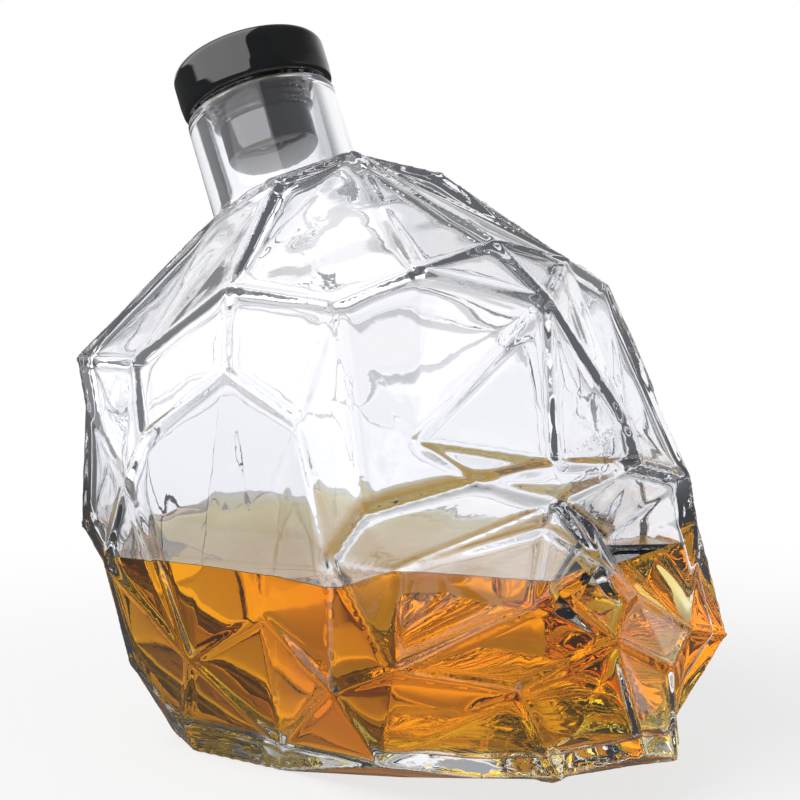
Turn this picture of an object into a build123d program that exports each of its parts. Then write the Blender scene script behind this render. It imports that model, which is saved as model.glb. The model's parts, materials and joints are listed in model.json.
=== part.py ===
from build123d import *
import math
import os

# A clear glass skull bottle, about a quarter full, closed by a round black stopper.
# The skull looks along -Y and is the same on both sides of X = 0. Z is up, and the
# origin is the middle of the flat underside that it stands on. Lengths are millimetres.

# Skull, measured outside: across the ears, jaw to back of the head, foot to crown
skull_width = 132.0
skull_length = 165.0
skull_height = 130.0
wall_thickness = 3.0
base_thickness = 8.0
fill_height = 44.0

# Neck, which leans back in the middle plane
neck_lean_angle = 29.0
neck_radius = 17.6
neck_length = 26.0
neck_root = 9.0
neck_wall = 4.8
lip_round = 1.4

# Stopper: a solid cap, a plug below it and a finned sleeve around the plug's waist
cap_radius = 18.0
cap_height = 12.0
cap_top_round = 3.0
cap_foot_round = 1.0
plug_radius = 10.6
plug_length = 14.0
plug_wall = 1.8
plug_foot_round = 0.6
spigot_radius = 7.0
spigot_length = 6.0
sleeve_height = 6.4
sleeve_wall = 1.5
waist_depth = 1.6
flange_radius = 16.6
flange_thickness = 0.8
fin_count = 3
fin_thickness = 0.9

# Clearances and the overrun of a cut
running_clearance = 0.05
seat_clearance = 0.1
overrun = 2.0

bore_radius = neck_radius - neck_wall

# Where the neck stands on the crown, as shares of the skull's length and height
neck_seat_shares = (0.370, 0.887)
# The middle of the bottle's hollow, from which every facet can be seen
heart_shares = (0.09, 0.42)
# A facet seen more edge-on than this from the heart thins its wall instead of sinking deeper
glancing_share = 0.4
# How the hollow's nodes settle behind their facets, and how many walls deep one may go
settling_rounds = 300
deepest_walls = 1.8

lean = math.radians(neck_lean_angle)
neck_seat = Vector(0, neck_seat_shares[0] * skull_length, neck_seat_shares[1] * skull_height)
neck_axis = Vector(0, math.sin(lean), math.cos(lean))
neck_plane = Plane(origin=neck_seat, x_dir=(1, 0, 0), z_dir=neck_axis)
lip_plane = neck_plane.offset(neck_length)
heart = Vector(0, heart_shares[0] * skull_length, heart_shares[1] * skull_height)

# The crown's nodes around the neck: across and toward the face, as shares of its radius
crown_shares = {
    "apex": (0.0, 1.6),
    "crown_front_side": (0.82, 0.87),
    "crown_side": (1.05, -0.18),
    "crown_back_side": (0.7, -1.1),
    "crown_back": (0.0, -1.2),
}

# The skull's other nodes on its left half: shares of the half width, length and height
node_shares = {
    "forehead_top": (0.0, -0.11, 0.86),
    "forehead_front": (0.0, -0.22, 0.78),
    "brow_dip": (0.0, -0.24, 0.52),
    "nose_root": (0.0, -0.245, 0.46),
    "nose_tip": (0.0, -0.325, 0.375),
    "nose_well": (0.0, -0.255, 0.315),
    "nose_spine": (0.0, -0.36, 0.26),
    "jaw_front": (0.0, -0.42, 0.09),
    "shoulder": (0.34, 0.195, 0.95),
    "forehead_side": (0.3, -0.105, 0.825),
    "temple_top": (0.54, -0.065, 0.775),
    "brow_crease": (0.42, -0.17, 0.56),
    "brow_peak": (0.32, -0.245, 0.505),
    "brow_end": (0.65, -0.19, 0.46),
    "orbit_side": (0.73, -0.165, 0.385),
    "orbit_low": (0.59, -0.22, 0.215),
    "orbit_inner": (0.2, -0.295, 0.31),
    "orbit_corner": (0.09, -0.26, 0.425),
    "orbit_well": (0.42, -0.125, 0.35),
    "nose_side": (0.1, -0.325, 0.305),
    "cheek": (0.79, -0.2, 0.19),
    "cheek_front": (0.3, -0.32, 0.19),
    "jaw_corner": (0.23, -0.365, 0.058),
    "jaw_side": (0.39, -0.295, 0.052),
    "jaw_back": (0.59, -0.19, 0.056),
    "temple": (0.71, -0.08, 0.59),
    "side_top": (0.71, 0.08, 0.79),
    "side_hub": (0.8, 0.03, 0.66),
    "side_back": (0.86, 0.215, 0.66),
    "side_low": (0.93, 0.15, 0.54),
    "back_rib": (0.97, 0.165, 0.47),
    "arch": (0.78, -0.04, 0.275),
    "side_foot": (0.86, 0.08, 0.185),
    "nape_top": (0.89, 0.345, 0.65),
    "nape": (0.93, 0.295, 0.575),
    "nape_low": (0.98, 0.27, 0.38),
    "heel_top": (1.0, 0.2, 0.33),
    "heel": (0.83, 0.255, 0.145),
    "back_top": (0.42, 0.51, 0.69),
    "back_mid": (0.41, 0.55, 0.49),
    "back_low": (0.44, 0.495, 0.255),
    "back_foot": (0.36, 0.41, 0.1),
    "back_ridge_top": (0.0, 0.52, 0.755),
    "back_ridge": (0.0, 0.575, 0.555),
    "back_ridge_low": (0.0, 0.525, 0.215),
    "band_side": (0.63, 0.005, 0.046),
    "band_back_side": (0.72, 0.19, 0.038),
    "band_back": (0.65, 0.295, 0.038),
    "band_heel": (0.3, 0.36, 0.038),
    "foot_front": (0.0, -0.205, 0.0),
    "foot_front_side": (0.35, -0.095, 0.0),
    "foot_side": (0.61, 0.02, 0.0),
    "foot_back_side": (0.7, 0.18, 0.0),
    "foot_back": (0.62, 0.28, 0.0),
    "foot_heel": (0.29, 0.34, 0.0),
}

# Facets of the left half by their nodes, which the right half mirrors
half_facets = [
    # Forehead, temple and crown
    "apex forehead_top forehead_side",
    "apex forehead_side temple_top",
    "apex temple_top side_top",
    "apex side_top shoulder",
    "apex shoulder crown_front_side",
    "forehead_top forehead_front forehead_side",
    "forehead_front brow_crease forehead_side",
    "forehead_front brow_dip brow_crease",
    "forehead_side brow_crease temple_top",
    "temple_top orbit_side temple",
    "temple_top temple side_hub",
    "temple_top side_hub side_top",
    # Brow
    "temple_top brow_crease brow_end",
    "temple_top brow_end orbit_side",
    "brow_dip brow_peak brow_crease",
    "brow_dip nose_root brow_peak",
    "brow_crease brow_peak brow_end",
    # Eye socket
    "nose_root orbit_corner orbit_well",
    "nose_root orbit_well brow_peak",
    "brow_peak orbit_well brow_end",
    "brow_end orbit_well orbit_side",
    "orbit_side orbit_well orbit_low",
    "orbit_low orbit_well orbit_inner",
    "orbit_inner orbit_well orbit_corner",
    # Nose
    "nose_root nose_tip orbit_corner",
    "orbit_corner nose_tip orbit_inner",
    "nose_tip nose_side orbit_inner",
    "nose_tip nose_well nose_side",
    "nose_side nose_well nose_spine",
    "nose_side nose_spine orbit_inner",
    # Cheek and jaw
    "orbit_inner nose_spine cheek_front",
    "orbit_inner cheek_front orbit_low",
    "nose_spine jaw_front jaw_corner",
    "nose_spine jaw_corner cheek_front",
    "cheek_front jaw_corner jaw_side",
    "cheek_front jaw_side jaw_back",
    "cheek_front jaw_back orbit_low",
    "orbit_low jaw_back cheek",
    "orbit_low cheek orbit_side",
    "orbit_side cheek arch",
    "cheek jaw_back band_side",
    "cheek band_side arch",
    # Side
    "arch band_side side_foot",
    "temple orbit_side arch",
    "temple arch side_hub",
    "side_hub arch side_foot",
    "side_hub side_foot side_low",
    "side_low side_foot back_rib",
    "side_back side_hub side_low",
    "side_back side_low back_rib",
    "side_back back_rib nape",
    "side_top side_hub side_back",
    "side_top side_back shoulder",
    # Shoulder beside the neck
    "shoulder side_back crown_side",
    "shoulder crown_side crown_front_side",
    "side_back nape_top crown_side",
    "side_back nape nape_top",
    "crown_side nape_top crown_back_side",
    "crown_back_side nape_top back_top",
    "crown_back_side back_top back_ridge_top",
    "crown_back_side back_ridge_top crown_back",
    # Back of the head
    "back_top back_ridge back_ridge_top",
    "nape_top back_mid back_top",
    "back_top back_mid back_ridge",
    "nape_top nape back_mid",
    "nape nape_low back_mid",
    "nape back_rib nape_low",
    "nape_low back_low back_mid",
    "back_mid back_low back_ridge_low",
    "back_mid back_ridge_low back_ridge",
    "nape_low heel_top back_low",
    "back_rib heel_top nape_low",
    "back_rib side_foot heel_top",
    "side_foot heel heel_top",
    "heel_top heel back_low",
    "heel back_foot back_low",
    "back_low back_foot back_ridge_low",
    # Band above the foot
    "heel band_back back_foot",
    "band_back band_heel back_foot",
    "side_foot band_side band_back_side",
    "side_foot band_back_side heel",
    "band_back_side band_back heel",
    "band_side foot_side foot_back_side",
    "band_side foot_back_side band_back_side",
    "band_back_side foot_back_side foot_back",
    "band_back_side foot_back band_back",
    "band_back foot_back foot_heel",
    "band_back foot_heel band_heel",
    # Underside of the jaw
    "band_side jaw_back foot_side",
    "jaw_back foot_front_side foot_side",
    "jaw_back jaw_side foot_front_side",
    "jaw_side jaw_corner foot_front_side",
    "jaw_corner foot_front foot_front_side",
    "jaw_corner jaw_front foot_front",
]

# Facets that cross the middle plane; a minus marks a node of the right half
middle_facets = [
    "apex crown_front_side -crown_front_side",
    "crown_front_side crown_side -crown_side -crown_front_side",
    "crown_side crown_back_side -crown_back_side -crown_side",
    "crown_back_side crown_back -crown_back_side",
    "back_foot back_ridge_low -back_foot",
    "back_foot -back_foot -band_heel band_heel",
    "band_heel -band_heel -foot_heel foot_heel",
    "foot_front foot_front_side foot_side foot_back_side foot_back foot_heel"
    " -foot_heel -foot_back -foot_back_side -foot_side -foot_front_side",
]


def node_places():
    """Every node of the skull's outside, by name."""
    places = {}
    for name, (across, forward) in crown_shares.items():
        places[name] = neck_plane.from_local_coords((across * neck_radius, -forward * neck_radius, 0))
    for name, (across, along, height) in node_shares.items():
        places[name] = Vector(across * skull_width / 2, along * skull_length, height * skull_height)
    for name, place in list(places.items()):
        if place.X > 0:
            places["-" + name] = Vector(-place.X, place.Y, place.Z)
    return places


def facet_names():
    """The nodes of every facet, both halves and the middle."""
    left = [facet.split() for facet in half_facets]
    right = [["-" + name if "-" + name in outside else name for name in facet] for facet in left]
    return left + right + [facet.split() for facet in middle_facets]


def facet_normal(names):
    """The unit vector that points out of the glass from a facet."""
    corners = [outside[name] for name in names]
    normal = (corners[1] - corners[0]).cross(corners[2] - corners[0]).normalized()
    return normal if normal.dot(corners[0] - heart) > 0 else -normal


def wall_shift(normals):
    """How far a node moves to lie the wall's thickness behind all of its facets, as near as can be."""
    shift = Vector(0, 0, 0)
    for _ in range(settling_rounds):
        missing = [normal * (wall_thickness + normal.dot(shift)) for normal in normals]
        shift -= sum(missing, Vector(0, 0, 0)) / len(missing)
    most = deepest_walls * wall_thickness
    return shift * min(1.0, most / shift.length)


def inside_places():
    """The nodes of the hollow: each outer node moved in by the wall, or drawn to the heart by the base."""
    normals = {name: [] for name in outside}
    for names in facets:
        for name in names:
            normals[name].append(facet_normal(names))
    places = {}
    for name, place in outside.items():
        if place.Z < base_thickness:
            inward = (heart - place).normalized()
            slope = max(min(-normal.dot(inward) for normal in normals[name]), glancing_share)
            depth = max(wall_thickness / slope, (base_thickness - place.Z) / inward.Z)
            places[name] = place + inward * depth
        else:
            places[name] = place + wall_shift(normals[name])
    return places


def faceted_solid(places):
    """A closed solid with the skull's facets on the given nodes."""
    faces = []
    for names in facets:
        corners = [places[name] for name in names]
        flat = len(corners) == 3 or places is outside
        fans = [corners] if flat else [[corners[0], *pair] for pair in zip(corners[1:], corners[2:])]
        faces += [Face(Wire.make_polygon(fan, close=True)) for fan in fans]
    return Solid(Shell(faces))


outside = node_places()
facets = facet_names()
skull = faceted_solid(outside)
hollow = faceted_solid(inside_places())

# Bottle: the skull and its neck, hollow, with a round bore and a rounded lip
with BuildPart() as glass_body:
    add(skull)
    with BuildSketch(neck_plane.offset(-neck_root)):
        Circle(neck_radius)
    extrude(amount=neck_root + neck_length)
    add(hollow, mode=Mode.SUBTRACT)
    with BuildSketch(lip_plane.offset(overrun)):
        Circle(bore_radius)
    extrude(amount=-(overrun + neck_length + neck_root), mode=Mode.SUBTRACT)
    lip = glass_body.faces().sort_by(Axis(neck_seat, neck_axis))[-1]
    fillet(lip.edges(), lip_round)
glass_body.part.label = "glass_body"
export_step(glass_body.part, "parts/glass_body.step")

# Whisky: what the hollow holds below the fill line
with BuildPart() as whisky:
    add(hollow)
    split(bisect_by=Plane.XY.offset(fill_height), keep=Keep.BOTTOM)
whisky.part.label = "whisky"
export_step(whisky.part, "parts/whisky.step")

# Heights along the neck's axis, counted from the lip
flange_foot = seat_clearance
cap_foot = flange_foot + flange_thickness
waist_radius = plug_radius - waist_depth
sleeve_foot = cap_foot - sleeve_height
plug_foot = -plug_length
turning_axis = Axis(lip_plane.origin, neck_axis)
# Outlines are drawn as radius and height: this plane's own Y runs along the neck's axis
profile_plane = Plane(origin=lip_plane.origin, x_dir=lip_plane.x_dir, z_dir=lip_plane.x_dir.cross(neck_axis))


def outer_rims(piece):
    """The widest round edges of a turned piece, lowest first."""
    return piece.edges().filter_by(GeomType.CIRCLE).group_by(SortBy.RADIUS)[-1].sort_by(turning_axis)


# Cap: a solid puck with a blind socket for the plug's spigot
with BuildPart() as stopper_cap:
    with BuildSketch(profile_plane):
        with BuildLine():
            Polyline(
                (0, cap_foot + spigot_length),
                (spigot_radius, cap_foot + spigot_length),
                (spigot_radius, cap_foot),
                (cap_radius, cap_foot),
                (cap_radius, cap_foot + cap_height),
                (0, cap_foot + cap_height),
                close=True,
            )
        make_face()
    revolve(axis=turning_axis)
    fillet(outer_rims(stopper_cap)[-1], cap_top_round)
    fillet(outer_rims(stopper_cap)[0], cap_foot_round)
stopper_cap.part.label = "stopper_cap"
export_step(stopper_cap.part, "parts/stopper_cap.step")

# Plug: a cup with a narrow waist for the sleeve and a spigot that fills the cap's socket
with BuildPart() as stopper_plug:
    with BuildSketch(profile_plane):
        with BuildLine():
            Polyline(
                (0, plug_foot),
                (plug_radius, plug_foot),
                (plug_radius, sleeve_foot),
                (waist_radius, sleeve_foot),
                (waist_radius, cap_foot),
                (spigot_radius, cap_foot),
                (spigot_radius, cap_foot + spigot_length),
                (spigot_radius - plug_wall, cap_foot + spigot_length),
                (spigot_radius - plug_wall, plug_foot + plug_wall),
                (0, plug_foot + plug_wall),
                close=True,
            )
        make_face()
    revolve(axis=turning_axis)
    fillet(outer_rims(stopper_plug)[0], plug_foot_round)
stopper_plug.part.label = "stopper_plug"
export_step(stopper_plug.part, "parts/stopper_plug.step")

# Seal: a soft sleeve on the plug's waist, with fins in the bore and a flange on the lip
fin_reach = bore_radius - running_clearance
fin_pitch = (sleeve_height - flange_thickness) / fin_count
with BuildPart() as seal_sleeve:
    with BuildSketch(profile_plane):
        with BuildLine():
            sleeve_points = [
                (waist_radius, cap_foot),
                (flange_radius, cap_foot),
                (flange_radius, flange_foot),
                (waist_radius + sleeve_wall, flange_foot),
            ]
            for index in range(fin_count):
                fin_foot = sleeve_foot + (fin_count - 1 - index) * fin_pitch
                sleeve_points += [
                    (waist_radius + sleeve_wall, fin_foot + fin_thickness),
                    (fin_reach, fin_foot + fin_thickness),
                    (waist_radius + sleeve_wall, fin_foot),
                ]
            Polyline(*sleeve_points, (waist_radius, sleeve_foot), close=True)
        make_face()
    revolve(axis=turning_axis)
seal_sleeve.part.label = "seal_sleeve"
export_step(seal_sleeve.part, "parts/seal_sleeve.step")

print("hollow", round(hollow.volume), "whisky", round(whisky.part.volume), "glass", round(glass_body.part.volume))
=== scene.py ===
import json
import math

import bpy
from mathutils import Matrix, Vector
from mathutils.kdtree import KDTree

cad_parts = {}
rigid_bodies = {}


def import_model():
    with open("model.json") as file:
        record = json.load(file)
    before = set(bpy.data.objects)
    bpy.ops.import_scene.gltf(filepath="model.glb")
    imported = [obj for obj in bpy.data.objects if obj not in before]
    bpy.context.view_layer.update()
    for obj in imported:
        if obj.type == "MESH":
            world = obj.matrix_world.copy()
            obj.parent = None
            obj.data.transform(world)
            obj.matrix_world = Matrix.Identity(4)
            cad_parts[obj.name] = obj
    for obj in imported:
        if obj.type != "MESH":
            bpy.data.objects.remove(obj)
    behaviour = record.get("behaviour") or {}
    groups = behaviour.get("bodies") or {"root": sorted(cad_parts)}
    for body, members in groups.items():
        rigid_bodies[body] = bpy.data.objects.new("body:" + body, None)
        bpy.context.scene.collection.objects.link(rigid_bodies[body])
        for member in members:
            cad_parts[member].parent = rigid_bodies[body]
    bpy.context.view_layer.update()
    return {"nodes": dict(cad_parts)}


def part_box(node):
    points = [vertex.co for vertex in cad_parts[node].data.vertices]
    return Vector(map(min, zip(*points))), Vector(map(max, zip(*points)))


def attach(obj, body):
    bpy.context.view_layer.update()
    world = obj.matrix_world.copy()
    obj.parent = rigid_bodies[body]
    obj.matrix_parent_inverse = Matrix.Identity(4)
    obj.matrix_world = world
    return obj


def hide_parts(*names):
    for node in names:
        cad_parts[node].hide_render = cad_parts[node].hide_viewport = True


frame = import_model()

bl_info = {
    "name": "Faceted Skull Decanter",
    "version": (1, 0, 0),
    "blender": (4, 5, 0),
    "location": "View3D > Sidebar > Decanter",
    "description": "Dresses a skull bottle of clear glass with its liquor, stopper and studio",
    "category": "Object",
}

MM = 0.001
UP = Vector((0, 0, 1))

# The neck as the solids have it: its lean, its seat on the skull, its length and its radii
LEAN = math.radians(29.0)
NECK_AXIS = Vector((0, math.sin(LEAN), math.cos(LEAN)))
NECK_SEAT = Vector((0, 61.05, 115.31)) * MM
NECK_LENGTH = 26.0 * MM
LIP = NECK_SEAT + NECK_AXIS * NECK_LENGTH
NECK_RADIUS = 17.6 * MM
BORE_RADIUS = 12.8 * MM
NECK_MIDDLE = (NECK_RADIUS + BORE_RADIUS) / 2
NECK_TURN = Matrix.Translation(LIP) @ Matrix.Rotation(-LEAN, 4, "X")


# Modelling helpers


def select_only(*objects):
    """Leaves just these objects selected, the first of them active."""
    bpy.ops.object.select_all(action="DESELECT")
    for piece in objects:
        piece.select_set(True)
    bpy.context.view_layer.objects.active = objects[0]


def enter_mesh(piece, kind="VERT"):
    """Opens a piece in edit mode with nothing selected."""
    select_only(piece)
    bpy.ops.object.mode_set(mode="EDIT")
    bpy.ops.mesh.select_mode(type=kind)
    bpy.ops.mesh.select_all(action="DESELECT")


def leave_mesh():
    bpy.ops.object.mode_set(mode="OBJECT")


def choose(piece, kind, test):
    """Selects the vertices, edges or faces that pass a test, and stays in edit mode."""
    enter_mesh(piece, kind)
    leave_mesh()
    mesh = piece.data
    parts = {"VERT": mesh.vertices, "EDGE": mesh.edges, "FACE": mesh.polygons}[kind]
    for part in parts:
        part.select = test(part)
    bpy.ops.object.mode_set(mode="EDIT")


def apply_modifier(piece, kind, **settings):
    """Adds a modifier with these settings and applies it at once."""
    select_only(piece)
    modifier = piece.modifiers.new(kind.lower(), kind)
    for name, value in settings.items():
        setattr(modifier, name, value)
    bpy.ops.object.modifier_apply(modifier=modifier.name)


def copy_of_piece(source, name):
    """A copy of a piece with a mesh of its own."""
    piece = bpy.data.objects.new(name, source.data.copy())
    piece.data.name = name
    piece.data.materials.clear()
    bpy.context.scene.collection.objects.link(piece)
    return piece


def copy_of_node(node, name):
    """A merged copy of a solid's mesh as a piece of its own."""
    piece = copy_of_piece(frame["nodes"][node], name)
    enter_mesh(piece)
    bpy.ops.mesh.select_all(action="SELECT")
    bpy.ops.mesh.remove_doubles(threshold=0.001 * MM)
    leave_mesh()
    return piece


def stay_in_box(piece, node):
    """Holds every vertex within a solid's own box."""
    low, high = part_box(node)
    for vertex in piece.data.vertices:
        for axis in range(3):
            vertex.co[axis] = min(max(vertex.co[axis], low[axis]), high[axis])


def open_edges(mesh):
    """The keys of the edges that belong to one face only."""
    counts = {}
    for polygon in mesh.polygons:
        for key in polygon.edge_keys:
            counts[key] = counts.get(key, 0) + 1
    return {key for key, count in counts.items() if count == 1}


def edge_key(edge):
    return tuple(sorted(edge.vertices))


def rounded_outline(corners, steps):
    """Points of an outline of (radius, height, rounding) corners, with an arc at each rounding."""
    points = []
    for index, (radius, height, rounding) in enumerate(corners):
        here = Vector((radius, height))
        if not rounding:
            points.append(here)
            continue
        before = (Vector(corners[index - 1][:2]) - here).normalized()
        after = (Vector(corners[index + 1][:2]) - here).normalized()
        half = before.angle(after) / 2
        reach = rounding / math.tan(half)
        centre = here + (before + after).normalized() * rounding / math.sin(half)
        start = here + before * reach - centre
        sweep = start.angle_signed(here + after * reach - centre)
        for step in range(steps + 1):
            turned = start.copy()
            turned.rotate(Matrix.Rotation(-sweep * step / steps, 2))
            points.append(centre + turned)
    return points


def turned_piece(name, corners, around, steps=6, closed=False):
    """A piece spun about the neck's axis from an outline counted in millimetres from the lip."""
    outline = rounded_outline(corners, steps)
    bpy.ops.object.select_all(action="DESELECT")
    bpy.ops.mesh.primitive_circle_add(vertices=len(outline), radius=1)
    piece = bpy.context.object
    piece.name = name
    piece.data.name = name
    for vertex, (radius, height) in zip(piece.data.vertices, outline):
        vertex.co = Vector((radius, 0, height)) * MM
    if not closed:
        last = len(outline) - 1
        choose(piece, "EDGE", lambda edge: sorted(edge.vertices) == [0, last])
        bpy.ops.mesh.delete(type="EDGE_FACE")
        leave_mesh()
    enter_mesh(piece)
    bpy.ops.mesh.select_all(action="SELECT")
    bpy.ops.mesh.spin(steps=around, angle=math.tau, center=(0, 0, 0), axis=(0, 0, 1))
    bpy.ops.mesh.select_all(action="SELECT")
    bpy.ops.mesh.remove_doubles(threshold=0.002 * MM)
    bpy.ops.mesh.normals_make_consistent(inside=False)
    leave_mesh()
    piece.data.transform(NECK_TURN)
    bpy.ops.object.shade_smooth_by_angle(angle=math.radians(32))
    return piece


def finish_piece(piece, body, node=None):
    """Hands a finished piece to the frame: what it rides on, and the solid it stands for, which is
    hidden.
    """
    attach(piece, body)
    if node:
        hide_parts(node)


# Material helpers


class Channel:
    """A socket that can stand in a plain sum."""

    def __init__(self, recipe, socket):
        self.recipe = recipe
        self.socket = socket

    def sum_with(self, operation, first, second):
        node = self.recipe.node("ShaderNodeMath", {"operation": operation}, {0: first, 1: second})
        return Channel(self.recipe, node.outputs[0])

    def __add__(self, other):
        return self.sum_with("ADD", self, other)

    def __radd__(self, other):
        return self.sum_with("ADD", other, self)

    def __rsub__(self, other):
        return self.sum_with("SUBTRACT", other, self)

    def __mul__(self, other):
        return self.sum_with("MULTIPLY", self, other)

    def __rmul__(self, other):
        return self.sum_with("MULTIPLY", other, self)

    def maximum(self, other):
        return self.sum_with("MAXIMUM", self, other)

    def above(self, level):
        return self.sum_with("GREATER_THAN", self, level)


class Recipe:
    """The nodes of one material or of the world."""

    def __init__(self, owner):
        owner.use_nodes = True
        self.owner = owner
        self.tree = owner.node_tree
        self.tree.nodes.clear()

    def node(self, kind, settings=None, sockets=None):
        """Adds a node with these settings and these values or links on its sockets."""
        node = self.tree.nodes.new(kind)
        for name, value in (settings or {}).items():
            setattr(node, name, value)
        for key, value in (sockets or {}).items():
            if isinstance(value, Channel):
                self.tree.links.new(value.socket, node.inputs[key])
            else:
                node.inputs[key].default_value = value
        return node

    def out(self, node, key=0):
        return Channel(self, node.outputs[key])

    def ramp_between(self, value, low, high):
        """A smooth step from 0 to 1 while value goes from low to high."""
        node = self.node(
            "ShaderNodeMapRange",
            {"interpolation_type": "SMOOTHSTEP"},
            {"Value": value, "From Min": low, "From Max": high},
        )
        return self.out(node, "Result")

    def along(self, vector, axis):
        """How far a place or a direction lies along an axis."""
        node = self.node("ShaderNodeVectorMath", {"operation": "DOT_PRODUCT"}, {0: vector, 1: axis})
        return self.out(node, "Value")

    def place(self):
        """Where a point lies on its object, counted from the object's origin."""
        return self.out(self.node("ShaderNodeTexCoord"), "Object")

    def noise(self, scale, detail=2.0, roughness=0.5):
        node = self.node(
            "ShaderNodeTexNoise", None,
            {"Vector": self.place(), "Scale": scale, "Detail": detail, "Roughness": roughness},
        )
        return self.out(node, "Fac")

    def bump(self, height, distance, strength):
        node = self.node(
            "ShaderNodeBump", None,
            {"Height": height, "Distance": distance, "Strength": strength},
        )
        return self.out(node, "Normal")

    def mixed_colour(self, factor, first, second):
        node = self.node(
            "ShaderNodeMix", {"data_type": "RGBA"}, {"Factor": factor, 6: first, 7: second})
        return self.out(node, 2)

    def mixed_shader(self, factor, first, second):
        node = self.node("ShaderNodeMixShader", None, {0: factor, 1: first, 2: second})
        return self.out(node)

    def surface(self, sockets):
        """A Principled shader on the material's surface."""
        shader = self.node("ShaderNodeBsdfPrincipled", None, sockets)
        self.end(self.out(shader), "Surface")

    def end(self, channel, key):
        """Links a channel to the owner's output, which is made when it is first needed."""
        kinds = {"OUTPUT_MATERIAL", "OUTPUT_WORLD"}
        output = next((node for node in self.tree.nodes if node.type in kinds), None)
        if output is None:
            kind = "World" if isinstance(self.owner, bpy.types.World) else "Material"
            output = self.node(f"ShaderNodeOutput{kind}")
        self.tree.links.new(channel.socket, output.inputs[key])


def new_material(name):
    return Recipe(bpy.data.materials.new(name))


def rgba(colour):
    return (*colour, 1.0)


WHITE = rgba((1, 1, 1))


# Sizes and colours


class BottleSettings(bpy.types.PropertyGroup):
    cell: bpy.props.FloatProperty(
        name="Cell", description="Size of the even mesh on the glass", default=0.75 * MM,
        unit="LENGTH")
    outside_softening: bpy.props.IntProperty(
        name="Outside softening", description="Smoothing passes on the outer ridges", default=5)
    inside_softening: bpy.props.IntProperty(
        name="Inside softening", description="Smoothing passes on the blown inner wall", default=90)
    kept_faces: bpy.props.FloatProperty(
        name="Kept faces", description="Share of the faces left once flat parts are thinned",
        default=0.4, subtype="FACTOR")
    outside_wave: bpy.props.FloatProperty(
        name="Outside wave", description="Height of the waves of the outer wall", default=0.25 * MM,
        unit="LENGTH")
    inside_wave: bpy.props.FloatProperty(
        name="Inside wave", description="Height of the waves of the inner wall", default=0.8 * MM,
        unit="LENGTH")
    bead_width: bpy.props.FloatProperty(
        name="Bead width", description="Half width of the bead along each ridge", default=1.1 * MM,
        unit="LENGTH")
    bead_height: bpy.props.FloatProperty(
        name="Bead height", description="Height of the bead along each ridge", default=1.1 * MM,
        unit="LENGTH")
    tint: bpy.props.FloatVectorProperty(
        name="Tint", description="Colour of the glass", subtype="COLOR",
        default=(0.970, 0.974, 1.0))


class LiquorSettings(bpy.types.PropertyGroup):
    fill: bpy.props.FloatProperty(
        name="Fill", description="Height of the liquor above the foot", default=44.0 * MM,
        unit="LENGTH")
    meniscus: bpy.props.FloatProperty(
        name="Meniscus", description="How far the liquor climbs the glass", default=0.4 * MM,
        unit="LENGTH")
    amber: bpy.props.FloatVectorProperty(
        name="Amber", description="What the liquor lets through", subtype="COLOR",
        default=(1.0, 0.865, 0.04))
    depth: bpy.props.FloatProperty(
        name="Depth", description="How strongly the liquor takes up light, per metre", default=80.0)


class StopperSettings(bpy.types.PropertyGroup):
    black: bpy.props.FloatVectorProperty(
        name="Black", description="Colour of the cap and plug", subtype="COLOR",
        default=(0.010, 0.011, 0.012))
    silicone: bpy.props.FloatVectorProperty(
        name="Silicone", description="Colour of the seal", subtype="COLOR",
        default=(0.76, 0.76, 0.80))
    around: bpy.props.IntProperty(
        name="Around", description="Steps around each turned piece", default=128)


class StudioSettings(bpy.types.PropertyGroup):
    azimuth: bpy.props.FloatProperty(
        name="Azimuth", description="The camera's turn around the bottle, in degrees",
        default=-35.0)
    elevation: bpy.props.FloatProperty(
        name="Elevation", description="How high the camera looks from, in degrees", default=7.1)
    distance: bpy.props.FloatProperty(
        name="Distance", description="From the camera to its target", default=0.7, unit="LENGTH")
    lens: bpy.props.FloatProperty(
        name="Lens", description="Focal length in millimetres", default=143.1)
    softbox: bpy.props.FloatProperty(
        name="Softbox", description="Brightness of the softbox in reflections", default=1.6)
    floor_flag: bpy.props.FloatProperty(
        name="Floor flag", description="How dark the floor is in reflections", default=0.97,
        subtype="FACTOR")
    # Floor near sets how dark the painted shadow round the bottle is, seen through the glass
    floor_near: bpy.props.FloatProperty(
        name="Floor near", description="How dark the floor round the bottle is through the glass",
        default=0.65, subtype="FACTOR")
    floor_share: bpy.props.FloatProperty(
        name="Floor share", description="How much of the lit floor shows near the bottle",
        default=0.25, subtype="FACTOR")


# Glass


def axis_height(point):
    """How far a point is above the neck's seat, along the neck."""
    return (point - NECK_SEAT).dot(NECK_AXIS)


def axis_distance(point):
    """How far a point is from the neck's axis."""
    offset = point - NECK_SEAT
    return (offset - NECK_AXIS * offset.dot(NECK_AXIS)).length


def choose_outer_wall(piece, top=None):
    """Selects all that hangs together with the lowest vertex, below a level if one is given."""
    if top is not None:
        choose(piece, "FACE", lambda face: face.center.z > top)
        bpy.ops.mesh.hide(unselected=False)
        leave_mesh()
    lowest = min(piece.data.vertices, key=lambda vertex: vertex.co.z).index
    choose(piece, "VERT", lambda vertex: vertex.index == lowest)
    bpy.ops.mesh.select_linked()


# Where the skull ends and the turned neck starts, above the neck's seat
NECK_CUT = 5.0 * MM

# This close to the neck's axis, softening fades out over these heights above its seat
ROOT_REACH = 1.6 * NECK_RADIUS
ROOT_FADE_INSIDE = (-1.0 * MM, 4.0 * MM)
ROOT_FADE_OUTSIDE = (-4.0 * MM, 2.0 * MM)
# And over this height above the foot's underside
FOOT_RIM = 1.6 * MM

# The inside of the face keeps more of its hollows than the crown and the sides do
FACE_SHARE = 0.35
FACE_FRONT = -5.0 * MM
FACE_BACK = 20.0 * MM
FACE_TOP = 80.0 * MM


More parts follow.
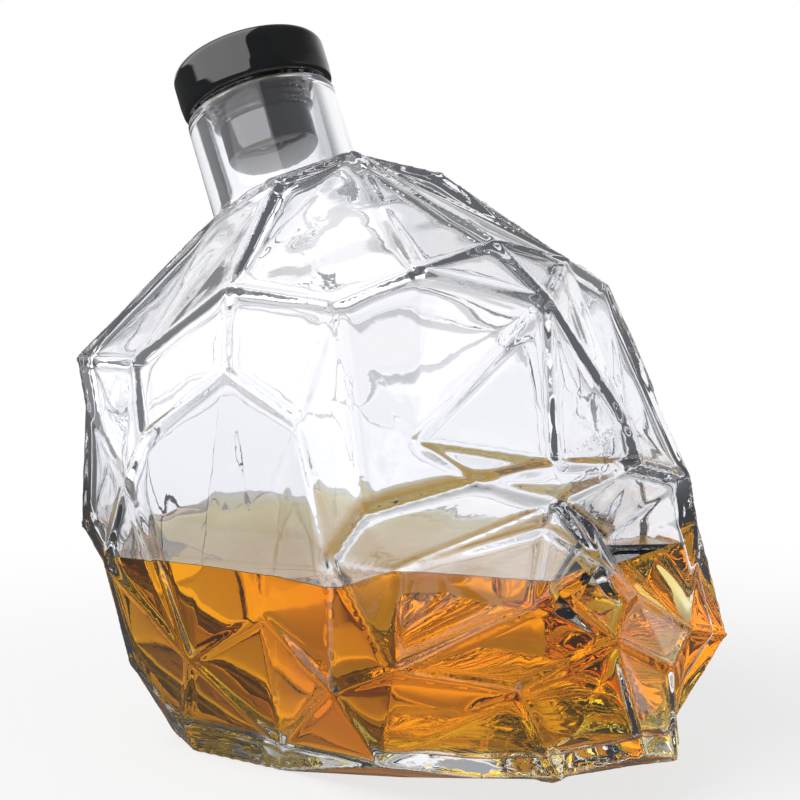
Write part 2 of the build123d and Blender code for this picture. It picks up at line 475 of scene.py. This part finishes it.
def softening_weight(vertex, inside):
    """1 where a wall of the skull may soften, 0 on the other wall, the neck and the flat foot.

    The outer wall's vertices have to be the selected ones.
    """
    if vertex.select == inside:
        return 0.0
    if vertex.co.z < FOOT_RIM:
        return max(vertex.co.z / FOOT_RIM, 0.0)
    rise = axis_height(vertex.co)
    low, high = ROOT_FADE_INSIDE if inside else ROOT_FADE_OUTSIDE
    if axis_distance(vertex.co) < ROOT_REACH and rise > low:
        return max((high - rise) / (high - low), 0.0)
    if inside and vertex.co.z < FACE_TOP and vertex.co.y < FACE_BACK:
        share = max((vertex.co.y - FACE_FRONT) / (FACE_BACK - FACE_FRONT), 0.0)
        return FACE_SHARE + (1.0 - FACE_SHARE) * share
    return 1.0


def weigh(piece, name, weight):
    """A vertex group with a weight for each vertex."""
    group = piece.vertex_groups.new(name=name)
    for vertex in piece.data.vertices:
        value = weight(vertex)
        if value > 0:
            group.add([vertex.index], value, "REPLACE")


def wave_texture(name, size):
    """Soft clouds that a wall's waves or the beads' unevenness follow."""
    texture = bpy.data.textures.new(name, "CLOUDS")
    texture.noise_scale = size
    texture.noise_depth = 1
    return texture


# Edges that fold less than this have no bead
RIDGE_ANGLE = math.radians(8)
# The sharper a ridge, the smaller its bead: the share starts here and falls by 1 for each such
# fold, but stays between the least and 1
BEAD_START = 1.35
BEAD_FOLD = math.radians(48)
LEAST_BEAD = 0.15
RIDGE_STEP = 0.4 * MM

# Sizes of the clouds behind the beads and the two walls' waves, in metres
BEAD_CLOUD = 0.020
OUTSIDE_CLOUD = 0.022
INSIDE_CLOUD = 0.016


def ridge_tree():
    """Places along the solid's outward ridges, to be searched, and the share of a bead at each."""
    solid = copy_of_node("glass_body", "ridges")
    sides = {}
    for polygon in solid.data.polygons:
        for key in polygon.edge_keys:
            sides.setdefault(key, []).append(polygon)
    places = []
    shares = []
    for key, pair in sides.items():
        if len(pair) != 2:
            continue
        fold = pair[0].normal.angle(pair[1].normal)
        if fold < RIDGE_ANGLE:
            continue
        hollow = (pair[1].center - pair[0].center).dot(pair[0].normal) > 0
        if hollow:
            continue
        start, end = (solid.data.vertices[index].co for index in key)
        steps = max(int((end - start).length / RIDGE_STEP), 1)
        places += [start.lerp(end, step / steps) for step in range(steps + 1)]
        share = min(max(BEAD_START - fold / BEAD_FOLD, LEAST_BEAD), 1.0)
        shares += [share] * (steps + 1)
    tree = KDTree(len(places))
    for index, place in enumerate(places):
        tree.insert(place, index)
    tree.balance()
    bpy.data.objects.remove(solid)
    return tree, shares


def skull_shell(settings):
    """The skull of glass up to the neck's cut, with beaded ridges and waves in both walls."""
    shell = copy_of_node("glass_body", "skull_bottle")
    apply_modifier(shell, "REMESH", mode="VOXEL", voxel_size=settings.cell)
    enter_mesh(shell)
    bpy.ops.mesh.select_all(action="SELECT")
    bpy.ops.mesh.bisect(
        plane_co=NECK_SEAT + NECK_AXIS * NECK_CUT, plane_no=NECK_AXIS, clear_outer=True)
    leave_mesh()
    choose_outer_wall(shell)
    leave_mesh()
    weigh(shell, "outer_wall", lambda vertex: softening_weight(vertex, False))
    weigh(shell, "inner_wall", lambda vertex: softening_weight(vertex, True))
    for group, passes in (
        ("outer_wall", settings.outside_softening),
        ("inner_wall", settings.inside_softening),
    ):
        apply_modifier(shell, "SMOOTH", factor=0.5, iterations=passes, vertex_group=group)
    tree, shares = ridge_tree()

    def bead(vertex):
        index, apart = tree.find(vertex.co)[1:]
        share = shares[index] * math.exp(-((apart / settings.bead_width) ** 2))
        return softening_weight(vertex, False) * share

    weigh(shell, "ridges", bead)
    # Beads only rise, and waves go both ways
    for group, height, size, middle in (
        ("ridges", settings.bead_height, BEAD_CLOUD, 0.0),
        ("outer_wall", settings.outside_wave, OUTSIDE_CLOUD, 0.5),
        ("inner_wall", settings.inside_wave, INSIDE_CLOUD, 0.5),
    ):
        apply_modifier(
            shell, "DISPLACE", texture=wave_texture(group, size), strength=height,
            mid_level=middle, direction="NORMAL", vertex_group=group)
    stay_in_box(shell, "glass_body")
    apply_modifier(shell, "DECIMATE", ratio=settings.kept_faces)
    return shell


# In millimetres, as an outline's corners are
LIP_ROUNDING = 1.4
# The turned neck's foot is drawn up this far, so that bridging has a gap to fill, and only what
# lies within the depth of the lip stays where it was
BRIDGE_GAP = 0.6 * MM
LIP_DEPTH = 6.0 * MM


def turned_neck(around):
    """The neck above the cut: straight walls and a lip with both edges rounded."""
    foot = NECK_CUT / MM - NECK_LENGTH / MM
    outline = [
        (NECK_RADIUS / MM, foot, 0),
        (NECK_RADIUS / MM, 0, LIP_ROUNDING),
        (BORE_RADIUS / MM, 0, LIP_ROUNDING),
        (BORE_RADIUS / MM, foot, 0),
    ]
    neck = turned_piece("neck", outline, around, steps=8)
    neck.data.transform(Matrix.Translation(NECK_AXIS * BRIDGE_GAP))
    for vertex in neck.data.vertices:
        if axis_height(vertex.co) > NECK_LENGTH - LIP_DEPTH:
            vertex.co -= NECK_AXIS * BRIDGE_GAP
    return neck


def bridge_neck(glass, wide):
    """Joins the skull's cut edge to the turned neck's, on the outside or in the bore."""
    rims = open_edges(glass.data)
    places = glass.data.vertices

    def is_rim(edge):
        far_out = axis_distance(places[edge.vertices[0]].co) > NECK_MIDDLE
        return edge_key(edge) in rims and far_out == wide

    choose(glass, "EDGE", is_rim)
    bpy.ops.mesh.bridge_edge_loops()
    leave_mesh()


# The skull's stub of a neck takes the turned neck's radii between these two heights
STUB_START = 1.0 * MM
STUB_END = 0.8 * NECK_CUT
STUB_REACH = 1.3 * NECK_RADIUS


def true_stub(shell):
    """Brings the skull's stub of a neck to the neck's own radii, so that the two meet smoothly."""
    for vertex in shell.data.vertices:
        rise = axis_height(vertex.co)
        apart = axis_distance(vertex.co)
        if rise > STUB_START and apart < STUB_REACH:
            wanted = NECK_RADIUS if apart > NECK_MIDDLE else BORE_RADIUS
            share = min((rise - STUB_START) / (STUB_END - STUB_START), 1.0)
            foot = NECK_SEAT + NECK_AXIS * rise
            vertex.co = foot + (vertex.co - foot) * (1.0 + share * (wanted / apart - 1.0))


def build_bottle(settings, contact, around):
    """The whole bottle, cut round at the height where the liquor meets the glass."""
    shell = skull_shell(settings)
    true_stub(shell)
    neck = turned_neck(around)
    select_only(shell, neck)
    bpy.ops.object.join()
    bridge_neck(shell, True)
    bridge_neck(shell, False)
    enter_mesh(shell)
    bpy.ops.mesh.select_all(action="SELECT")
    bpy.ops.mesh.normals_make_consistent(inside=False)
    bpy.ops.mesh.bisect(plane_co=(0, 0, contact), plane_no=(0, 0, 1))
    leave_mesh()
    shell.vertex_groups.clear()
    bpy.ops.object.shade_smooth()
    return shell


GLASS_INDEX = 1.5
LIQUOR_INDEX = 1.36

# A faint painted glow in the glass itself, so that light caught in the wall doesn't end in black.
# The glow is fainter around the liquor, where it would wash out the amber.
GLASS_GLOW = 0.02
GLASS_GLOW_COLOUR = (0.88, 0.90, 1.0)
GLASS_GLOW_LOW_COLOUR = (0.33, 0.34, 0.38)
GLASS_GLOW_RISE = (52 * MM, 66 * MM)


def glass_recipe(name, tint, index):
    """Clear pressed glass with a faint waviness and a faint painted glow; index is the glass
    against what it touches.
    """
    recipe = new_material(name)
    chill = recipe.noise(90.0, 1.0) + 0.25 * recipe.noise(420.0, 2.0)
    # Painted glow: its colour is dimmer on the lower glass, round the liquor
    upper = recipe.ramp_between(recipe.along(recipe.place(), UP), *GLASS_GLOW_RISE)
    painted_glow = recipe.mixed_colour(upper, rgba(GLASS_GLOW_LOW_COLOUR), rgba(GLASS_GLOW_COLOUR))
    recipe.surface({
        "Base Color": rgba(tint),
        "Roughness": 0.0,
        "IOR": index,
        "Transmission Weight": 1.0,
        "Emission Color": painted_glow,
        "Emission Strength": GLASS_GLOW,
        "Normal": recipe.bump(chill, 0.12 * MM, 0.25),
    })
    return recipe.owner


class DECANTER_OT_bottle(bpy.types.Operator):
    """Builds the glass skull with its neck and lip"""

    bl_idname = "decanter.bottle"
    bl_label = "Glass Bottle"

    def execute(self, context):
        scene = context.scene
        settings = scene.decanter_bottle
        contact = scene.decanter_liquor.fill + scene.decanter_liquor.meniscus
        bottle = build_bottle(settings, contact, scene.decanter_stopper.around)
        dry = glass_recipe("clear_glass", settings.tint, GLASS_INDEX)
        wet = glass_recipe("clear_glass_wet", settings.tint, GLASS_INDEX / LIQUOR_INDEX)
        for material in (dry, wet):
            bottle.data.materials.append(material)
        choose_outer_wall(bottle, top=contact)
        leave_mesh()
        # Below the liquor's edge, what doesn't hang together with the outer wall is wet
        for polygon in bottle.data.polygons:
            polygon.material_index = 0 if polygon.select or polygon.hide else 1
        enter_mesh(bottle)
        bpy.ops.mesh.reveal(select=False)
        leave_mesh()
        finish_piece(bottle, "bottle", "glass_body")
        return {"FINISHED"}


# Liquor


# Rings of the meniscus from the glass inward: width in millimetres, share of the fall
MENISCUS_RINGS = ((0.25, 0.42), (0.35, 0.30), (0.5, 0.20), (0.7, 0.08))


def build_liquor(settings):
    """The liquor as the hollow's own wall below the fill line, with its edge climbing the glass."""
    contact = settings.fill + settings.meniscus
    liquor = copy_of_piece(bpy.data.objects["skull_bottle"], "whisky_fill")
    enter_mesh(liquor)
    bpy.ops.mesh.select_all(action="SELECT")
    bpy.ops.mesh.bisect(plane_co=(0, 0, contact), plane_no=(0, 0, 1), clear_outer=True)
    leave_mesh()
    choose_outer_wall(liquor)
    bpy.ops.mesh.delete(type="VERT")
    bpy.ops.mesh.select_all(action="SELECT")
    bpy.ops.mesh.flip_normals()
    leave_mesh()
    rim = open_edges(liquor.data)
    choose(liquor, "EDGE", lambda edge: edge_key(edge) in rim)
    bpy.ops.mesh.edge_face_add()
    bpy.ops.mesh.select_mode(type="FACE")
    for inward, fall in MENISCUS_RINGS:
        bpy.ops.mesh.inset(
            thickness=inward * MM, depth=-fall * settings.meniscus, use_even_offset=False)
    leave_mesh()
    for polygon in liquor.data.polygons:
        polygon.material_index = 0
    return liquor


SKIN = 0.02 * MM
# The body is drawn in from the glass and from the skin on its surface by this much
BODY_GAP = 0.03 * MM
# Faces whose normal rises more than this look up
FACES_UP = 0.2
TOP_SLACK = 0.3 * MM


def is_top(face, settings):
    """Whether a face belongs to the liquor's surface."""
    return face.center.z > settings.fill - TOP_SLACK and face.normal.z > FACES_UP


def build_liquor_surface(liquor, settings):
    """The liquor's surface as a thin skin of its own."""
    surface = copy_of_piece(liquor, "whisky_surface")
    choose(surface, "FACE", lambda face: not is_top(face, settings))
    bpy.ops.mesh.delete(type="FACE")
    bpy.ops.mesh.select_all(action="SELECT")
    bpy.ops.mesh.solidify(thickness=SKIN)
    leave_mesh()
    return surface


def liquor_material(settings):
    """A body that only colours what passes, once light has come to it through the glass."""
    recipe = new_material("amber_whisky")
    direct = recipe.out(recipe.node("ShaderNodeLightPath"), "Is Camera Ray")
    passing = recipe.out(recipe.node("ShaderNodeBsdfTransparent"))
    body = recipe.out(recipe.node("ShaderNodeBsdfPrincipled", None, {
        "Base Color": WHITE, "Roughness": 0.0, "IOR": 1.0, "Transmission Weight": 1.0}))
    recipe.end(recipe.mixed_shader(direct, passing, body), "Surface")
    volume = recipe.node(
        "ShaderNodeVolumeAbsorption", None,
        {"Color": rgba(settings.amber), "Density": settings.depth})
    recipe.end(recipe.out(volume), "Volume")
    return recipe.owner


def skin_materials():
    """The liquor's surface, and an empty underside, so that light meets the surface only once."""
    skin = new_material("whisky_skin")
    skin.surface({
        "Base Color": WHITE,
        "Roughness": 0.0,
        "IOR": LIQUOR_INDEX,
        "Transmission Weight": 1.0,
        "Normal": skin.bump(skin.noise(60.0, 1.0), 0.05 * MM, 0.2),
    })
    under = new_material("whisky_skin_under")
    under.surface({"Base Color": WHITE, "Roughness": 0.0, "IOR": 1.0, "Alpha": 0.0})
    return skin.owner, under.owner


class DECANTER_OT_liquor(bpy.types.Operator):
    """Builds the liquor and its surface"""

    bl_idname = "decanter.liquor"
    bl_label = "Liquor"

    def execute(self, context):
        settings = context.scene.decanter_liquor
        liquor = build_liquor(settings)
        surface = build_liquor_surface(liquor, settings)
        enter_mesh(liquor)
        bpy.ops.mesh.select_all(action="SELECT")
        bpy.ops.transform.shrink_fatten(value=-BODY_GAP)
        leave_mesh()
        for piece in (liquor, surface):
            select_only(piece)
            bpy.ops.object.shade_smooth_by_angle(angle=math.radians(60))
        liquor.data.materials.append(liquor_material(settings))
        for material in skin_materials():
            surface.data.materials.append(material)
        for polygon in surface.data.polygons:
            polygon.material_index = 0 if polygon.normal.z > FACES_UP else 1
        finish_piece(liquor, "bottle", "whisky")
        finish_piece(surface, "bottle", None)
        return {"FINISHED"}


# Stopper


# How strongly the two black parts mirror the room
CAP_INDEX = 1.8
PLUG_INDEX = 2.3


def black_recipe(name, black, speck, index):
    """Moulded black plastic with a polished skin and faint, cloudy handling marks."""
    recipe = new_material(name)
    marks = recipe.ramp_between(recipe.noise(70.0, 4.0, 0.6), 0.45, 0.75)
    peel = recipe.noise(speck, 2.0)
    paler = rgba([part * 1.6 for part in black])
    shade = recipe.mixed_colour(marks * 0.5, rgba(black), paler)
    recipe.surface({
        "Base Color": shade,
        "Roughness": 0.035 + 0.06 * marks,
        "IOR": index,
        "Normal": recipe.bump(peel, 0.02 * MM, 0.25),
    })
    return recipe.owner


# The stopper's outlines in millimetres, heights counted from the lip along the neck
SEAT_GAP = 0.1
FLANGE = 0.8
CAP_FOOT = SEAT_GAP + FLANGE
CAP_TOP = CAP_FOOT + 12.0
CAP_RADIUS = 18.0
CAP_FLARE = 0.35
CAP_FLARE_TOP = CAP_FOOT + 3.6
CAP_SHOULDER = CAP_TOP - 4.0
SPIGOT_RADIUS = 7.0
SPIGOT_TOP = CAP_FOOT + 6.0
PLUG_RADIUS = 10.6
PLUG_FOOT = -14.0
PLUG_WALL = 1.8
# The plug's underside is flat to the nose's radius and rises a little to its edge
NOSE_RADIUS = PLUG_RADIUS - 2.4
NOSE_RISE = 0.5
WAIST_RADIUS = 9.0
SLEEVE_RADIUS = 10.5
SLEEVE_FOOT = CAP_FOOT - 6.4
FLANGE_RADIUS = 16.6
FIN_REACH = 12.74
FIN_THICKNESS = 0.9
FIN_COUNT = 3


class DECANTER_OT_cap(bpy.types.Operator):
    """Builds the stopper's cap"""

    bl_idname = "decanter.cap"
    bl_label = "Cap"

    def execute(self, context):
        settings = context.scene.decanter_stopper
        outline = [
            (0, SPIGOT_TOP, 0),
            (SPIGOT_RADIUS, SPIGOT_TOP, 0),
            (SPIGOT_RADIUS, CAP_FOOT, 0),
            (CAP_RADIUS - CAP_FLARE, CAP_FOOT, 1.6),
            (CAP_RADIUS, CAP_FLARE_TOP, 6.0),
            (CAP_RADIUS, CAP_SHOULDER, 0),
            (CAP_RADIUS, CAP_TOP, 3.0),
            (0, CAP_TOP, 0),
        ]
        cap = turned_piece("cap", outline, settings.around, steps=8)
        cap.data.materials.append(black_recipe("cap_black", settings.black, 900.0, CAP_INDEX))
        finish_piece(cap, "stopper", "stopper_cap")
        return {"FINISHED"}


class DECANTER_OT_plug(bpy.types.Operator):
    """Builds the plug below the cap"""

    bl_idname = "decanter.plug"
    bl_label = "Plug"

    def execute(self, context):
        settings = context.scene.decanter_stopper
        inner_radius = SPIGOT_RADIUS - PLUG_WALL
        outline = [
            (0, PLUG_FOOT, 0),
            (NOSE_RADIUS, PLUG_FOOT, 0),
            (PLUG_RADIUS, PLUG_FOOT + NOSE_RISE, 0.35),
            (PLUG_RADIUS, PLUG_FOOT + 4 * NOSE_RISE, 0),
            (PLUG_RADIUS, SLEEVE_FOOT, 0.2),
            (WAIST_RADIUS, SLEEVE_FOOT, 0.2),
            (WAIST_RADIUS, CAP_FOOT, 0),
            (SPIGOT_RADIUS, CAP_FOOT, 0),
            (SPIGOT_RADIUS, SPIGOT_TOP, 0.2),
            (inner_radius, SPIGOT_TOP, 0.2),
            (inner_radius, PLUG_FOOT + PLUG_WALL, 0.8),
            (0, PLUG_FOOT + PLUG_WALL, 0),
        ]
        plug = turned_piece("plug", outline, settings.around, steps=6)
        plug.data.materials.append(black_recipe("plug_black", settings.black, 700.0, PLUG_INDEX))
        finish_piece(plug, "stopper", "stopper_plug")
        return {"FINISHED"}


class DECANTER_OT_seal(bpy.types.Operator):
    """Builds the finned seal"""

    bl_idname = "decanter.seal"
    bl_label = "Seal"

    def execute(self, context):
        settings = context.scene.decanter_stopper
        pitch = (SEAT_GAP - SLEEVE_FOOT) / FIN_COUNT
        outline = [
            (WAIST_RADIUS, CAP_FOOT, 0),
            (FLANGE_RADIUS, CAP_FOOT, 0.2),
            (FLANGE_RADIUS, SEAT_GAP, 0.3),
            (SLEEVE_RADIUS, SEAT_GAP, 0.2),
        ]
        for index in reversed(range(FIN_COUNT)):
            foot = SLEEVE_FOOT + index * pitch
            outline += [
                (SLEEVE_RADIUS, foot + FIN_THICKNESS, 0.2),
                (FIN_REACH, foot + FIN_THICKNESS, 0.25),
                (SLEEVE_RADIUS, foot, 0.2 if index else 0),
            ]
        outline.append((WAIST_RADIUS, SLEEVE_FOOT, 0))
        seal = turned_piece("seal", outline, settings.around, steps=3, closed=True)
        recipe = new_material("grey_silicone")
        bloom = recipe.noise(240.0, 3.0, 0.6)
        paler = rgba([part * 1.2 for part in settings.silicone])
        recipe.surface({
            "Base Color": recipe.mixed_colour(bloom, rgba(settings.silicone), paler),
            "Roughness": 0.06 + 0.10 * bloom,
            "IOR": 1.41,
            "Transmission Weight": 1.0,
            "Normal": recipe.bump(bloom, 0.02 * MM, 0.2),
        })
        seal.data.materials.append(recipe.owner)
        finish_piece(seal, "stopper", "seal_sleeve")
        return {"FINISHED"}


# Studio


# Grey flags of the room: between which two values of its axis one grows, then how dark it is
# to light that comes through the glass and to light that has been mirrored
LEFT_FLAG = (-0.45, -0.66, 0.70, 1.00)
RIGHT_FLAG = (0.70, 0.95, 0.60, 0.60)
CEILING = (0.00, 0.60, 0.65, 0.95)
FRONT_FLAG = (-0.10, -0.45, 0.60, 1.00)
FLAG_SHADE = 0.86

# All but what stands straight behind the bottle is greyer, and so is what shows above the
# horizon through the glass
BEHIND = (0.92, 0.60)
BESIDE_SHADE = 0.40
HORIZON = (-0.03, 0.05)
HORIZON_SHADE = 0.36

# The softbox fills the left above the horizon, except behind the bottle
SOFTBOX_SIDE = (-0.06, -0.09)
SOFTBOX_RISE = (0.08, 0.14)
SOFTBOX_AHEAD = (0.68, 0.64)

FLOOR_SIZE = 8.0
FLOOR_DROP = 0.2 * MM
FLOOR_COLOUR = (0.9, 0.9, 0.9)
# Distances from the middle of the foot between which the floor turns from lit to plain white
FLOOR_FAR = (0.10, 0.30)
# Flags on the floor, which only light that has met the glass sees; the round one is a painted
# shadow round the bottle's foot
FLOOR_FLAG_GLOW = 0.06
ROUND_PAINTED_SHADOW = (0.22, 0.08)
LEFT_FLOOR_SHADE = 0.95
LEFT_FLOOR_SLANT = 0.62
LEFT_FLOOR_EDGE = (0.04, -0.06)
LEFT_FLOOR_START = (0.20, 0.30)
FRONT_FLOOR_SHADE = 0.70
FRONT_FLOOR_EDGE = (0.04, -0.04)

TARGET = Vector((0, 17.2, 75)) * MM
SENSOR_WIDTH = 36.0

LAMP_WIDTH = 0.9
LAMP_DISTANCE = 1.2
LAMP_POWER = 10.0
LAMP_AZIMUTH = -100
LAMP_ELEVATION = 50


def direction(azimuth, elevation):
    """The unit vector from the bottle toward a place in the studio."""
    turn = math.radians(azimuth)
    rise = math.radians(elevation)
    level = math.cos(rise)
    return Vector((math.sin(turn) * level, -math.cos(turn) * level, math.sin(rise)))


def view_axes(settings):
    """The level axes straight away from the camera and to its right."""
    away = -direction(settings.azimuth, 0)
    return away, Vector((away.y, -away.x, 0))


def flag_shade(recipe, value, flag, reflected):
    """How dark a flag is at a value along its axis."""
    start, end, plain, mirrored = flag
    return recipe.ramp_between(value, start, end) * (plain + (mirrored - plain) * reflected)


def build_world(settings):
    """A white room with grey flags and a softbox, where the camera itself sees plain white."""
    world = bpy.data.worlds.new("studio")
    bpy.context.scene.world = world
    recipe = Recipe(world)
    toward = recipe.out(recipe.node("ShaderNodeTexCoord"), "Generated")
    away, right = view_axes(settings)
    rise = recipe.along(toward, UP)
    side = recipe.along(toward, right)
    ahead = recipe.along(toward, away)
    path = recipe.node("ShaderNodeLightPath")
    through = recipe.out(path, "Is Transmission Ray")
    reflected = recipe.out(path, "Glossy Depth").above(0.5)
    dark = flag_shade(recipe, side, LEFT_FLAG, reflected)
    for value, flag in ((side, RIGHT_FLAG), (rise, CEILING), (ahead, FRONT_FLAG)):
        dark = dark.maximum(flag_shade(recipe, value, flag, reflected))
    beside = recipe.ramp_between(ahead, *BEHIND) * BESIDE_SHADE
    horizon = recipe.ramp_between(rise, *HORIZON) * through * (1.0 - reflected) * HORIZON_SHADE
    shade = (1.0 - FLAG_SHADE * dark) * (1.0 - beside.maximum(horizon))
    window = recipe.ramp_between(side, *SOFTBOX_SIDE) * recipe.ramp_between(rise, *SOFTBOX_RISE)
    window = window * recipe.ramp_between(ahead, *SOFTBOX_AHEAD)
    glow = shade + window * reflected * (settings.softbox - shade)
    camera = recipe.out(path, "Is Camera Ray")
    strength = glow + camera * (1.0 - glow)
    light = recipe.node("ShaderNodeBackground", None, {"Color": WHITE, "Strength": strength})
    recipe.end(recipe.out(light), "Surface")


def build_floor(settings):
    """A pale floor that stays white far off and keeps the bottle's shadow close by."""
    bpy.ops.object.select_all(action="DESELECT")
    bpy.ops.mesh.primitive_grid_add(
        x_subdivisions=8, y_subdivisions=8, size=FLOOR_SIZE, location=(0, 0, -FLOOR_DROP))
    floor = bpy.context.object
    floor.name = "floor"
    bpy.ops.object.transform_apply(location=True, rotation=True, scale=True)
    recipe = new_material("pale_floor")

    def glow(strength):
        node = recipe.node("ShaderNodeEmission", None, {"Color": WHITE, "Strength": strength})
        return recipe.out(node)

    path = recipe.node("ShaderNodeLightPath")
    mirrored = recipe.out(path, "Is Reflection Ray")
    through = recipe.out(path, "Is Transmission Ray")
    camera = recipe.out(path, "Is Camera Ray")
    seen = camera.maximum(recipe.out(path, "Is Glossy Ray")).maximum(through)
    place = recipe.place()
    length = recipe.node("ShaderNodeVectorMath", {"operation": "LENGTH"}, {0: place})
    apart = recipe.out(length, "Value")
    away, right = view_axes(settings)
    ahead = recipe.along(place, away)
    side = recipe.along(place, right)
    # Painted shadow: the floor round the bottle's foot is darker to light that has come through the
    # glass
    beside = settings.floor_near * recipe.ramp_between(apart, *ROUND_PAINTED_SHADOW)
    left = recipe.ramp_between(side + LEFT_FLOOR_SLANT * ahead, *LEFT_FLOOR_EDGE)
    left = LEFT_FLOOR_SHADE * left * recipe.ramp_between(apart, *LEFT_FLOOR_START)
    front = FRONT_FLOOR_SHADE * recipe.ramp_between(ahead, *FRONT_FLOOR_EDGE)
    flagged = settings.floor_flag * mirrored + through * beside.maximum(left).maximum(front)
    white = recipe.mixed_shader(flagged, glow(1.0), glow(FLOOR_FLAG_GLOW))
    # The eye sees a share of the lit floor, with the bottle's shadow on it, near the bottle only
    near = 1.0 - recipe.ramp_between(apart, *FLOOR_FAR)
    share = seen * (1.0 - settings.floor_share * camera * near)
    plain = recipe.out(recipe.node("ShaderNodeBsdfDiffuse", None, {"Color": rgba(FLOOR_COLOUR)}))
    recipe.end(recipe.mixed_shader(share, plain, white), "Surface")
    recipe.owner.cycles.emission_sampling = "NONE"
    floor.data.materials.append(recipe.owner)


def build_camera(settings):
    back = direction(settings.azimuth, settings.elevation)
    lens = bpy.data.cameras.new("camera")
    camera = bpy.data.objects.new("camera", lens)
    bpy.context.scene.collection.objects.link(camera)
    lens.lens = settings.lens
    lens.sensor_width = SENSOR_WIDTH
    camera.location = TARGET + back * settings.distance
    camera.rotation_euler = (-back).to_track_quat("-Z", "Y").to_euler()
    bpy.context.scene.camera = camera


def build_lamp():
    """One soft lamp on the left, which only matt surfaces see."""
    data = bpy.data.lights.new("softbox", "AREA")
    data.shape = "RECTANGLE"
    data.size = LAMP_WIDTH
    data.size_y = LAMP_WIDTH
    data.energy = LAMP_POWER
    lamp = bpy.data.objects.new("softbox", data)
    bpy.context.scene.collection.objects.link(lamp)
    toward = direction(LAMP_AZIMUTH, LAMP_ELEVATION)
    lamp.location = toward * LAMP_DISTANCE
    lamp.rotation_euler = (-toward).to_track_quat("-Z", "Y").to_euler()
    lamp.visible_camera = False
    lamp.visible_glossy = False
    lamp.visible_transmission = False


class DECANTER_OT_studio(bpy.types.Operator):
    """Sets up the floor, the light and the camera"""

    bl_idname = "decanter.studio"
    bl_label = "Studio"

    def execute(self, context):
        settings = context.scene.decanter_studio
        build_world(settings)
        build_floor(settings)
        build_lamp()
        build_camera(settings)
        context.scene.view_settings.view_transform = "Standard"
        return {"FINISHED"}


class VIEW3D_PT_decanter(bpy.types.Panel):
    """Lists the decanter's pieces"""

    bl_label = "Decanter"
    bl_space_type = "VIEW_3D"
    bl_region_type = "UI"
    bl_category = "Decanter"

    def draw(self, context):
        scene = context.scene
        for group, operators in PANEL_ROWS:
            box = self.layout.box()
            for name in getattr(scene, group).__annotations__:
                box.prop(getattr(scene, group), name)
            for operator in operators:
                box.operator(operator)


PANEL_ROWS = (
    ("decanter_bottle", ("decanter.bottle",)),
    ("decanter_liquor", ("decanter.liquor",)),
    ("decanter_stopper", ("decanter.cap", "decanter.plug", "decanter.seal")),
    ("decanter_studio", ("decanter.studio",)),
)
GROUPS = {
    "decanter_bottle": BottleSettings,
    "decanter_liquor": LiquorSettings,
    "decanter_stopper": StopperSettings,
    "decanter_studio": StudioSettings,
}
CLASSES = (
    *GROUPS.values(),
    DECANTER_OT_bottle,
    DECANTER_OT_liquor,
    DECANTER_OT_cap,
    DECANTER_OT_plug,
    DECANTER_OT_seal,
    DECANTER_OT_studio,
    VIEW3D_PT_decanter,
)


def register():
    for kind in CLASSES:
        bpy.utils.register_class(kind)
    for name, group in GROUPS.items():
        setattr(bpy.types.Scene, name, bpy.props.PointerProperty(type=group))


def unregister():
    for name in GROUPS:
        delattr(bpy.types.Scene, name)
    for kind in reversed(CLASSES):
        bpy.utils.unregister_class(kind)


def main():
    register()
    bpy.ops.decanter.studio()
    bpy.ops.decanter.bottle()
    bpy.ops.decanter.liquor()
    bpy.ops.decanter.cap()
    bpy.ops.decanter.plug()
    bpy.ops.decanter.seal()


if __name__ == "__main__":
    main()
